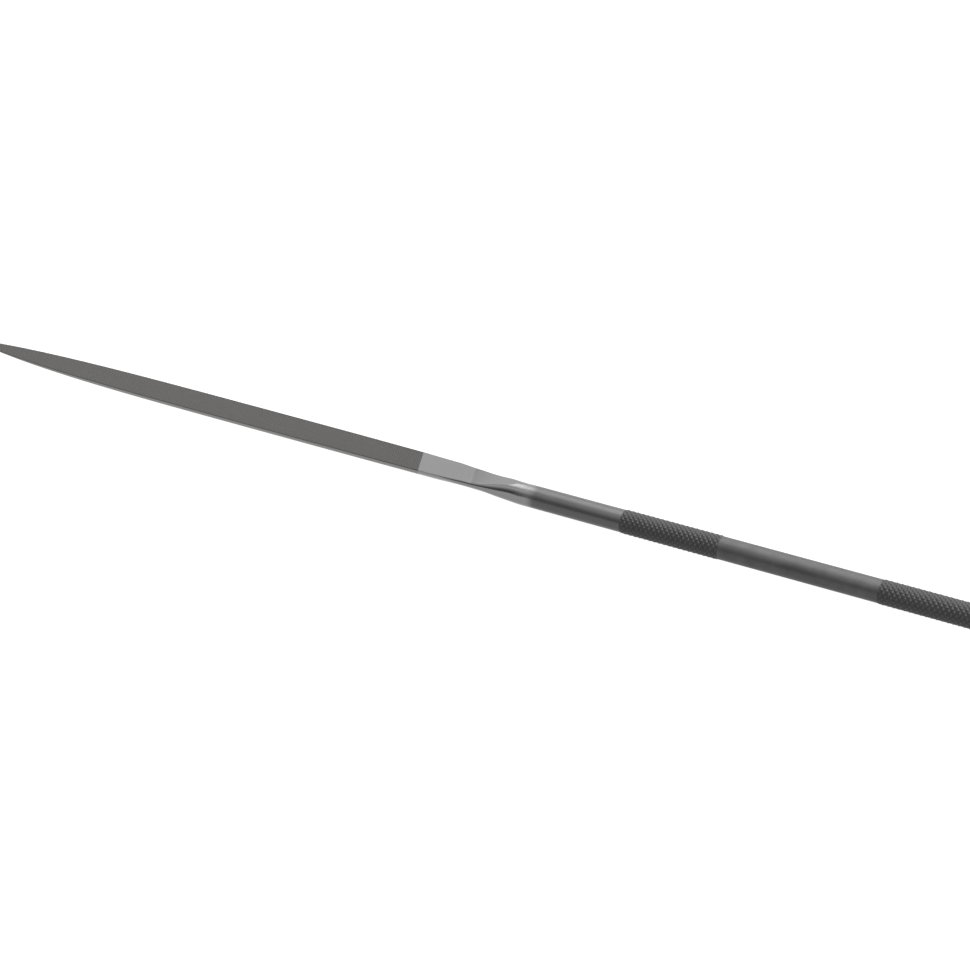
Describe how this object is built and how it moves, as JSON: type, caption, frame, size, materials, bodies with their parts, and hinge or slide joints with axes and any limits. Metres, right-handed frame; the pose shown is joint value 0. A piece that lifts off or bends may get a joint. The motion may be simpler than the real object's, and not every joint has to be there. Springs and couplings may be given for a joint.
{
  "type": "half round needle file",
  "caption": "Slim half round hand file: toothed blade with a flat face and a round back, tapering to a point, on a round knurled handle of the same steel bar.",
  "frame": {"origin": "centre of the butt's flat end, on the handle's axis", "axes": "+X out of the butt along the handle, with the tip at minus X; +Z out of the blade's flat; +Y completes the right-handed frame, so that seen along +Y the tip is on the left"},
  "size_m": [0.16, 0.005, 0.0034],
  "materials": {
    "toothed_steel": "matte, fine file teeth",
    "ground_steel": "satin, ground bright",
    "dark_steel": "smooth, dark oxide",
    "knurled_steel": "diamond knurl, dark oxide"
  },
  "bodies": {
    "root": {"blade": "toothed_steel", "heel": "ground_steel", "neck": "ground_steel", "shank": "dark_steel", "front_knurl": "knurled_steel", "plain_land": "dark_steel", "rear_knurl": "knurled_steel", "butt": "dark_steel"}
  },
  "joints": []
}
